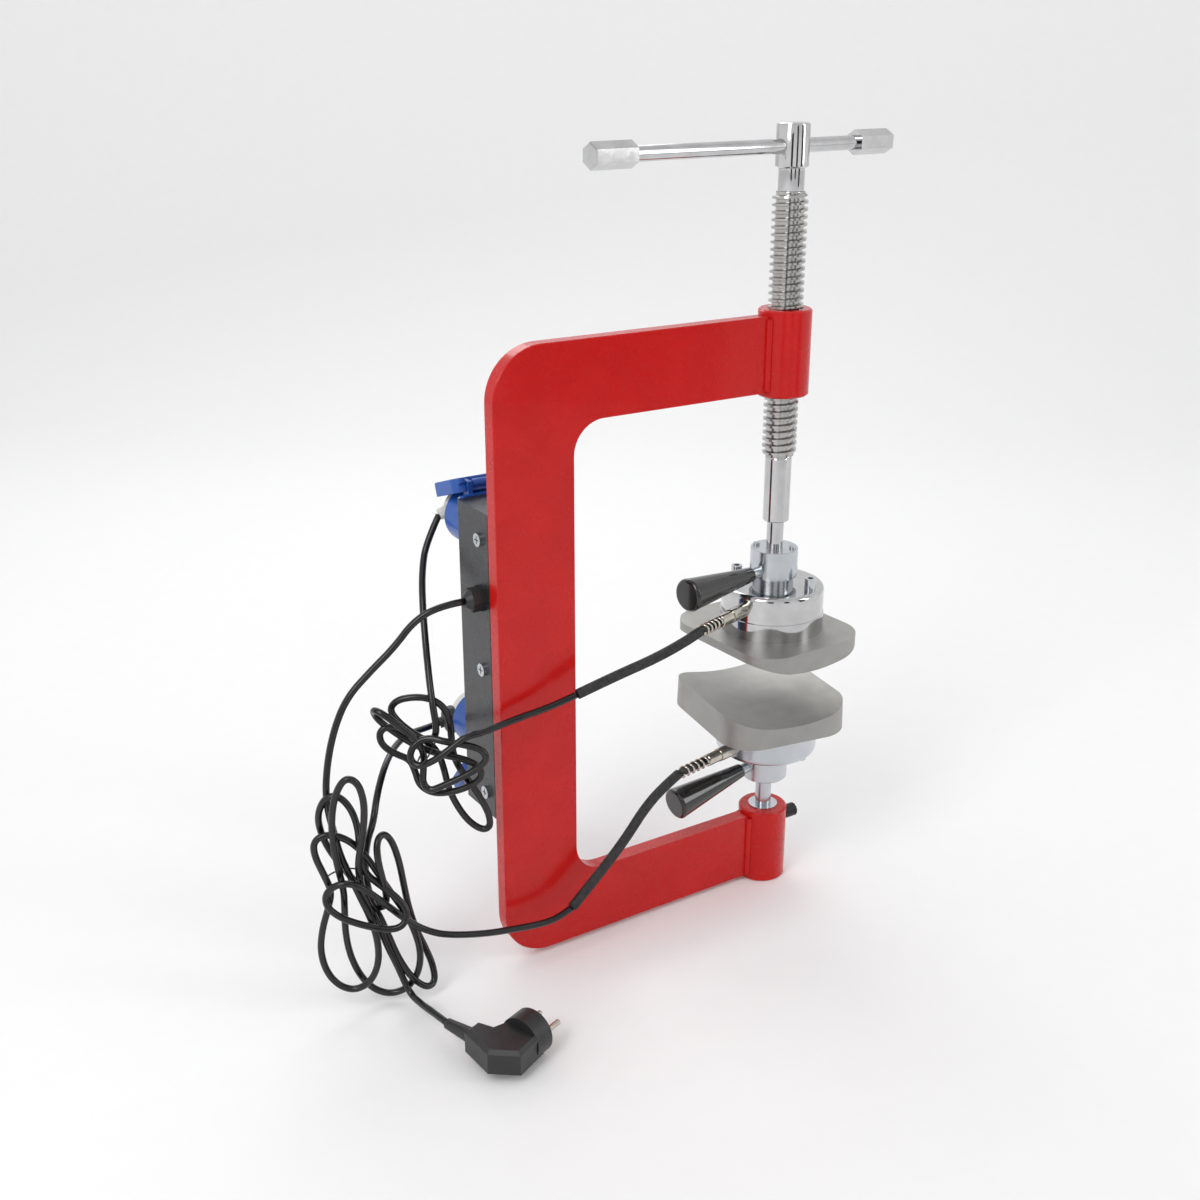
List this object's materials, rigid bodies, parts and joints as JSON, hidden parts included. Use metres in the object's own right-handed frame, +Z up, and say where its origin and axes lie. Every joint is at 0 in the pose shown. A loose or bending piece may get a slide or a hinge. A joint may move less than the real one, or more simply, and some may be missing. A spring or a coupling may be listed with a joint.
{
  "type": "clamp-frame tyre vulcaniser press",
  "caption": "C-frame screw press that clamps a tyre or tube between two curved electric heating plates, with a switchless control box, heater leads and a mains lead.",
  "frame": {"origin": "on the screw axis, at the bottom face of the lower boss", "axes": "+X along the arms, away from the spine; +Y across the frame plate, towards the control box; +Z up along the screw"},
  "size_m": [0.5659, 0.2655, 0.6982],
  "materials": {
    "frame_paint": "gloss powder coat over steel",
    "chrome": "polished chrome plate over steel",
    "zinc": "bright zinc plate over steel",
    "satin_aluminium": "satin, bead-blasted cast aluminium",
    "nickel": "bright nickel plate over brass",
    "bearing_steel": "polished bearing steel",
    "brass": "turned",
    "black_steel": "black oxide",
    "bakelite": "polished thermoset",
    "element_steel": "heat-tinted sheet",
    "box_paint": "semi-gloss paint over sheet steel",
    "black_plastic": "moulded satin",
    "blue_plastic": "moulded",
    "ivory_plastic": "moulded",
    "cable_pvc": "satin PVC sheath",
    "braided_sleeve": "woven glass-fibre sleeving"
  },
  "bodies": {
    "root": {"c_frame_plate": "frame_paint", "upper_boss": "frame_paint", "lower_boss": "frame_paint", "weld_beads": "frame_paint", "lower_bush": "zinc", "box_back": "box_paint", "box_cover": "box_paint", "box_fasteners": "zinc", "gland_body": "black_plastic", "gland_nut": "black_plastic", "panel_sockets": "blue_plastic", "lid_hinge_pins": "zinc", "upper_heater_plug": "ivory_plastic", "lower_heater_plug": "ivory_plastic", "lower_heater_plug_back": "black_plastic", "plug_pins": "nickel", "upper_heater_sleeve": "braided_sleeve", "upper_heater_cord": "cable_pvc", "upper_cord_hank": "cable_pvc", "upper_plug_cord": "cable_pvc", "lower_heater_sleeve": "braided_sleeve", "lower_heater_cord": "cable_pvc", "lower_cord_bundle": "cable_pvc", "lower_plug_cord": "cable_pvc", "mains_cord": "cable_pvc", "mains_plug_cord": "cable_pvc", "mains_plug": "black_plastic", "hank_ties": "black_plastic"},
    "press_carrier": {"thrust_ball": "bearing_steel"},
    "spindle": {"spindle": "chrome", "spindle_collar": "chrome"},
    "t_bar": {"t_bar": "chrome", "t_bar_caps": "chrome"},
    "upper_heater": {"upper_plate": "satin_aluminium", "upper_base_ring": "satin_aluminium", "upper_housing": "chrome", "upper_hub": "zinc", "upper_hub_cap": "chrome", "upper_heater_screws": "zinc", "upper_heating_element": "element_steel", "upper_handle_stud": "zinc", "upper_handle_grip": "bakelite", "upper_lead_inlet": "nickel", "upper_lead_barrel": "nickel", "upper_lead_spring": "nickel"},
    "lower_stem": {"lower_stem": "zinc"},
    "lower_heater": {"lower_plate": "satin_aluminium", "lower_cup": "zinc", "lower_hub": "zinc", "lower_heater_screws": "zinc", "lower_heating_element": "element_steel", "lower_handle_stud": "zinc", "lower_handle_grip": "bakelite", "lower_lead_inlet": "nickel", "lower_lead_barrel": "nickel", "lower_lead_spring": "nickel"},
    "clamp_pad": {"clamp_pad": "brass"},
    "clamp_screw": {"clamp_screw": "black_steel"},
    "upper_socket_lid": {"upper_socket_lid": "blue_plastic"},
    "lower_socket_lid": {"lower_socket_lid": "blue_plastic"}
  },
  "joints": [
    {"name": "press_travel", "type": "slide", "parent": "root", "child": "press_carrier", "axis": [0, 0, 1], "range_m": [-0.047, 0.055]},
    {"name": "spindle_spin", "type": "hinge", "parent": "press_carrier", "child": "spindle", "pos_m": [0, 0, 0.5], "axis": [0, 0, 1], "range_deg": [-2820, 3300]},
    {"name": "t_bar_slide", "type": "slide", "parent": "spindle", "child": "t_bar", "axis": [0.9962, 0.0872, 0], "range_m": [-0.0575, 0.1535]},
    {"name": "upper_heater_swivel", "type": "hinge", "parent": "press_carrier", "child": "upper_heater", "pos_m": [0, 0, 0.317], "axis": [0, 0, 1], "range_deg": [-25, 25]},
    {"name": "lower_heater_height", "type": "slide", "parent": "root", "child": "lower_stem", "axis": [0, 0, 1], "range_m": [-0.015, 0.03]},
    {"name": "lower_heater_swivel", "type": "hinge", "parent": "lower_stem", "child": "lower_heater", "pos_m": [0, 0, 0.1], "axis": [0, 0, 1], "range_deg": [-25, 25]},
    {"name": "clamp_travel", "type": "slide", "parent": "root", "child": "clamp_pad", "axis": [1, 0, 0], "range_m": [0, 0.006]},
    {"name": "clamp_spin", "type": "hinge", "parent": "clamp_pad", "child": "clamp_screw", "pos_m": [0.02, 0, 0.056], "axis": [1, 0, 0], "range_deg": [0, 1728.1]},
    {"name": "upper_lid_hinge", "type": "hinge", "parent": "root", "child": "upper_socket_lid", "pos_m": [-0.258, 0.0665, 0.4205], "axis": [1, 0, 0], "range_deg": [0, 85]},
    {"name": "lower_lid_hinge", "type": "hinge", "parent": "root", "child": "lower_socket_lid", "pos_m": [-0.258, 0.0665, 0.1635], "axis": [1, 0, 0], "range_deg": [-30, 50]}
  ],
  "couplings": [
    {"joint": "press_travel", "follows": "spindle_spin", "m_per_rad": 0.00095493},
    {"joint": "clamp_spin", "follows": "clamp_travel", "rad_per_m": 5026.5}
  ]
}
